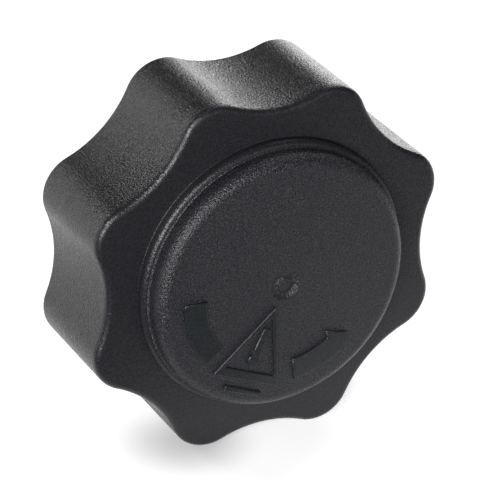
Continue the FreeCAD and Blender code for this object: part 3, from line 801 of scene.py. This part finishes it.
def relief(name, outlines, edge=MARK_EDGE):
    """Raised mark: its outer outline, and any holes in it, with softened edges."""
    curve = bpy.data.curves.new(name, "CURVE")
    curve.dimensions = "2D"
    curve.fill_mode = "BOTH"
    curve.extrude = (MARK_HEIGHT + MARK_SUNK) / 2 - edge
    curve.bevel_depth = edge
    curve.offset = -edge
    curve.bevel_resolution = MARK_EDGE_STEPS
    for outline in outlines:
        spline = curve.splines.new("POLY")
        spline.points.add(len(outline) - 1)
        for point, flat in zip(spline.points, outline):
            point.co = (flat.x, flat.y, 0, 1)
        spline.use_cyclic_u = True
    holder = bpy.data.objects.new(name, curve)
    bpy.context.scene.collection.objects.link(holder)
    bpy.context.view_layer.update()
    seen = holder.evaluated_get(bpy.context.evaluated_depsgraph_get())
    mesh = bpy.data.meshes.new_from_object(seen)
    bpy.data.objects.remove(holder)
    bpy.data.curves.remove(curve)
    lift = (MARK_HEIGHT - MARK_SUNK) / 2
    laid_over = Matrix.Rotation(math.pi / 2, 4, "X")
    mesh.transform(Matrix.Translation(on_axis(FACE - lift)) @ laid_over)
    finished(mesh, name, mark_plastic, "cap")


def turning_arrow():
    """Two parts of a curved arrow that shows the closing direction."""
    tail_start, tail_end = -180.5 * DEGREE, -140.5 * DEGREE
    outer = arc_points(TURN_OUTER, tail_start, tail_end)
    inner = arc_points(TURN_INNER, tail_end, tail_start)
    relief("turn_mark_tail", [outer + inner])
    shaft_start, shaft_end = -82.4 * DEGREE, -53.2 * DEGREE
    head_angle, tip_angle = -52.3 * DEGREE, -42.7 * DEGREE
    head_inner, head_outer, tip_radius = 13.6 * MM, 20.6 * MM, 17.4 * MM
    outline = arc_points(TURN_OUTER, shaft_start, shaft_end)
    outline.append(polar(head_outer, head_angle))
    outline.append(polar(tip_radius, tip_angle))
    outline.append(polar(head_inner, head_angle))
    outline.extend(arc_points(TURN_INNER, shaft_end, shaft_start))
    relief("turn_mark_head", [outline])


def triangle(apex, base, half_width):
    corners = [turned(apex, 0), turned(base, half_width), turned(base, -half_width)]
    return soft_corners(corners, MARK_CORNER)


def gauge_mark():
    """Frame with a plain temperature gauge in it, and a bar below."""
    outer = triangle(apex=3.9 * MM, base=18.5 * MM, half_width=7.0 * MM)
    inner = triangle(apex=6.1 * MM, base=16.7 * MM, half_width=5.35 * MM)
    relief("gauge_mark_frame", [outer, inner])
    bulb_centre, bulb_radius, stem_half, stem_end = 14.6 * MM, 1.25 * MM, 0.75 * MM, 8.2 * MM
    tip_round = 0.9 * stem_half
    foot_left, foot_right = turned(bulb_centre, stem_half), turned(bulb_centre, -stem_half)
    tip_left, tip_right = turned(stem_end, stem_half), turned(stem_end, -stem_half)
    outline = soft_corner(foot_left, tip_left, tip_right, tip_round)
    outline.extend(soft_corner(tip_left, tip_right, foot_right, tip_round))
    # The right side runs on into the bulb, to where a round at its foot would start.
    outline.append(soft_corner(tip_right, foot_right, foot_left, tip_round)[0])
    meets = math.asin(stem_half / bulb_radius)
    for step in range(BULB_STEPS + 1):
        angle = math.pi + meets + (2 * math.pi - 2 * meets) * step / BULB_STEPS
        around = polar(bulb_radius, angle)
        outline.append(turned(bulb_centre + around.x, around.y))
    relief("gauge_mark", [outline])
    bar_start, bar_end, bar_left, bar_right = 20.0 * MM, 21.1 * MM, 4.1 * MM, -3.6 * MM
    corners = [
        turned(bar_start, bar_right),
        turned(bar_end, bar_right),
        turned(bar_end, bar_left),
        turned(bar_start, bar_left),
    ]
    relief("gauge_mark_bar", [soft_corners(corners, MARK_CORNER)], BAR_EDGE)


turning_arrow()
gauge_mark()


# Round wire and ring, in place of the solids' plain sections.

WIRE_SIDES = 16
COIL_STEP = 6 * DEGREE
RING_STEPS = 120
SOLID_RING_SIDES = 8


def wire_section(surface, centre, outward, third, radius):
    """Ring of points around a centre, in the plane of two directions."""
    points = []
    for side in range(WIRE_SIDES):
        angle = 2 * math.pi * side / WIRE_SIDES
        points.append(centre + (outward * math.cos(angle) + third * math.sin(angle)) * radius)
    return surface.ring(points)


def tube(surface, centres, radius):
    """Ring of points around each centre, square to the line that the centres make."""
    rows = []
    for index, centre in enumerate(centres):
        before = centres[max(index - 1, 0)]
        after = centres[min(index + 1, len(centres) - 1)]
        forward = (after - before).normalized()
        outward = (centre - on_axis(centre.y)).normalized()
        third = forward.cross(outward).normalized()
        rows.append(wire_section(surface, centre, outward, third, radius))
    return rows


def spring_coil(node, mean, wire, turns, end_turns):
    """Compression spring with its end turns closed, between the ends of the solid spring."""
    low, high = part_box(node)
    surface = Surface()
    whole_turn = 2 * math.pi * turns
    steps = round(whole_turn / COIL_STEP)
    first, last = low.y + wire / 2, high.y - wire / 2
    centres = []
    for step in range(steps + 1):
        angle = whole_turn * step / steps
        share = (angle / (2 * math.pi) - end_turns) / (turns - 2 * end_turns)
        share = min(max(share, 0), 1)
        depth = first + (last - first) * share
        centres.append(placed(polar(mean, math.pi / 2 - angle), depth))
    rows = tube(surface, centres, wire / 2)
    surface.skin(rows)
    for row in (rows[0], rows[-1]):
        surface.faces.append(tuple(row))
    mesh = bpy.data.meshes.new(node + "_coil")
    mesh.from_pydata(surface.points, [], surface.faces)
    coil = bpy.data.objects.new(node + "_coil", mesh)
    bpy.context.scene.collection.objects.link(coil)
    mesh.shade_smooth()
    mesh.materials.append(spring_steel)
    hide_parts(node)
    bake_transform(coil)


def neck_ring():
    """Round rubber ring in the plug's groove, with the corner radius of the solid's section."""
    surface = Surface()
    section = (ring_high.y - ring_low.y) / (2 * math.cos(math.pi / SOLID_RING_SIDES))
    mean = ring_high.x - section
    middle = (ring_high.y + ring_low.y) / 2
    along = Vector((0, 1, 0))
    angles = [2 * math.pi * step / RING_STEPS for step in range(RING_STEPS)]
    rows = []
    for centre in circle(mean, angles, middle):
        outward = (centre - on_axis(middle)).normalized()
        rows.append(wire_section(surface, centre, outward, along, section))
    surface.skin(rows + [rows[0]])
    ring = surface.to_object("neck_ring", seal_rubber, "insert")
    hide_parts("neck_oring")


spring_coil(
    "pressure_spring",
    mean=8.4 * MM,
    wire=1.8 * MM,
    turns=4.5,
    end_turns=0.7,
)
spring_coil(
    "vacuum_spring",
    mean=2.8 * MM,
    wire=0.4 * MM,
    turns=4.0,
    end_turns=0.7,
)
neck_ring()

NODE_MATERIALS = {
    "valve_pot": insert_plastic,
    "pot_cover": insert_plastic,
    "pressure_plate": plate_plastic,
    "pressure_seal": seal_rubber,
    "vacuum_valve": poppet_brass,
    "vacuum_clip": spring_steel,
}
for node, material in NODE_MATERIALS.items():
    frame["nodes"][node].material_slots[0].material = material


# Camera, fitted to the photograph.

CAMERA_AZIMUTH = -28.17 * DEGREE
CAMERA_ELEVATION = 26.97 * DEGREE
CAMERA_ROLL = 2.20 * DEGREE
CAMERA_DISTANCE = 404.8 * MM
AIM_RIGHT = -5.216 * MM
AIM_UP = 5.428 * MM
SENSOR = 36.0
IMAGE_SIZE = 480
FOCAL_PIXELS = 2338.8
CLIP_NEAR = 10 * MM
CLIP_FAR = 20

back = Vector(
    (
        math.sin(CAMERA_AZIMUTH) * math.cos(CAMERA_ELEVATION),
        -math.cos(CAMERA_AZIMUTH) * math.cos(CAMERA_ELEVATION),
        math.sin(CAMERA_ELEVATION),
    )
)
level_right = (-back).cross(Vector((0, 0, 1))).normalized()
level_up = level_right.cross(-back)
right = level_right * math.cos(CAMERA_ROLL) + level_up * math.sin(CAMERA_ROLL)
up = level_up * math.cos(CAMERA_ROLL) - level_right * math.sin(CAMERA_ROLL)
aim = on_axis(FLANGE) + right * AIM_RIGHT + up * AIM_UP

camera_data = bpy.data.cameras.new("camera")
camera_data.sensor_width = SENSOR
camera_data.lens = FOCAL_PIXELS / IMAGE_SIZE * SENSOR
camera_data.clip_start = CLIP_NEAR
camera_data.clip_end = CLIP_FAR
camera = bpy.data.objects.new("camera", camera_data)
bpy.context.scene.collection.objects.link(camera)
turn = Matrix((right, up, back)).transposed().to_4x4()
camera.matrix_world = Matrix.Translation(aim + back * CAMERA_DISTANCE) @ turn
bpy.context.scene.camera = camera


# Floor, light and background.

# The floor is white behind a line that runs just in front of the picture's lower edge, and
# dark in front of that line. FLOOR_BACK points backwards from the line, and the floor turns
# from dark to lit between two distances along it, measured from the origin.
FLOOR_HALF = 1.5
FLOOR_BACK = (0.408, 0.913, 0)
FLOOR_DIM = -42 * MM
FLOOR_LIT = -29 * MM
LIT_COLOUR = (0.68, 0.68, 0.68)
DIM_COLOUR = (0.12, 0.12, 0.12)

# Where it is lit, the floor also glows up to white, except in a painted shadow around the place
# where the cap stands on it: there the glow fades out, so the floor is darker there, on top of the
# lamps' own shadow.
PAINTED_SHADOW_MIDDLE = (-14 * MM, -9.5 * MM, 0)
PAINTED_SHADOW_NEAR = 1 * MM
PAINTED_SHADOW_FAR = 15.5 * MM
GLOW_NEAR = 0.0
GLOW_FAR = 0.50

SKY_LIGHT = 0.04
LAMP_DISTANCE = 0.75
LAMP_SIZE = 0.32
KEY_SIZE = 0.42


def seen_directly(tree):
    """1 for rays from the camera, and for reflections and what shows through."""
    path = tree.nodes.new("ShaderNodeLightPath")
    seen = path.outputs["Is Camera Ray"]
    for name in ("Is Glossy Ray", "Is Transmission Ray"):
        seen = calculated(tree, "MAXIMUM", seen, path.outputs[name])
    return seen


def between(tree, share, low, high):
    """A number that is low where the share is 0 and high where it is 1."""
    node = tree.nodes.new("ShaderNodeMapRange")
    node.inputs["To Min"].default_value = low
    node.inputs["To Max"].default_value = high
    tree.links.new(share, node.inputs["Value"])
    return node.outputs["Result"]


def floor_white():
    """Matte white that glows where it is lit, with a painted shadow around the cap's foot, and is
    dark in front of the picture.
    """
    material, tree, shader = new_material("floor_white")
    tree.nodes.remove(shader)
    point = object_point(tree)
    lit = step_between(tree, measured(tree, "DOT_PRODUCT", point, FLOOR_BACK), FLOOR_DIM, FLOOR_LIT)
    matte = tree.nodes.new("ShaderNodeBsdfDiffuse")
    colour = mixed(tree, lit, "RGBA", (*DIM_COLOUR, 1), (*LIT_COLOUR, 1))
    tree.links.new(colour, matte.inputs["Color"])
    # Painted shadow: the glow fades out towards a point near where the cap stands, so the floor is
    # darker there.
    from_painted_shadow = measured(tree, "DISTANCE", point, PAINTED_SHADOW_MIDDLE)
    outside_painted_shadow = step_between(tree, from_painted_shadow, PAINTED_SHADOW_NEAR, PAINTED_SHADOW_FAR)
    seen = calculated(tree, "MULTIPLY", seen_directly(tree), lit)
    strength = calculated(tree, "MULTIPLY", seen, between(tree, outside_painted_shadow, GLOW_NEAR, GLOW_FAR))
    glow = tree.nodes.new("ShaderNodeEmission")
    tree.links.new(strength, glow.inputs["Strength"])
    both = tree.nodes.new("ShaderNodeAddShader")
    tree.links.new(matte.outputs["BSDF"], both.inputs[0])
    tree.links.new(glow.outputs["Emission"], both.inputs[1])
    output = tree.nodes["Material Output"]
    tree.links.new(both.outputs["Shader"], output.inputs["Surface"])
    return material


def floor():
    """Table top under the cap."""
    mesh = bpy.data.meshes.new("floor")
    signs = [(-1, -1), (1, -1), (1, 1), (-1, 1)]
    mesh.from_pydata([(x * FLOOR_HALF, y * FLOOR_HALF, 0) for x, y in signs], [], [(0, 1, 2, 3)])
    mesh.materials.append(floor_white())
    plane = bpy.data.objects.new("floor", mesh)
    bpy.context.scene.collection.objects.link(plane)


def soft_light(name, turn, height, power, size=LAMP_SIZE):
    """Square lamp that faces the cap. Its turn is measured from straight in front, to the right."""
    data = bpy.data.lights.new(name, "AREA")
    data.shape = "SQUARE"
    data.size = size
    data.energy = power
    light = bpy.data.objects.new(name, data)
    bpy.context.scene.collection.objects.link(light)
    toward = Vector(
        (
            math.sin(turn) * math.cos(height),
            -math.cos(turn) * math.cos(height),
            math.sin(height),
        )
    )
    light.location = on_axis(0) + toward * LAMP_DISTANCE
    light.visible_camera = False
    light.rotation_mode = "QUATERNION"
    light.rotation_quaternion = toward.to_track_quat("Z", "Y")


def world():
    """Dim, even light from all round."""
    sky = bpy.data.worlds.new("studio")
    sky.use_nodes = True
    bpy.context.scene.world = sky
    background = sky.node_tree.nodes["Background"]
    background.inputs["Color"].default_value = (1, 1, 1, 1)
    background.inputs["Strength"].default_value = SKY_LIGHT


floor()
world()
soft_light("key_light", turn=-40 * DEGREE, height=17 * DEGREE, power=10.5, size=KEY_SIZE)
soft_light("left_side", turn=-105 * DEGREE, height=10 * DEGREE, power=0.9)
soft_light("left_back", turn=-146 * DEGREE, height=22 * DEGREE, power=2.6)
soft_light("right_back", turn=136 * DEGREE, height=12 * DEGREE, power=2.3)
soft_light("right_top", turn=120 * DEGREE, height=50 * DEGREE, power=2.2)
soft_light("front_fill", turn=15 * DEGREE, height=8 * DEGREE, power=0.7)

bpy.context.scene.view_settings.view_transform = "Standard"
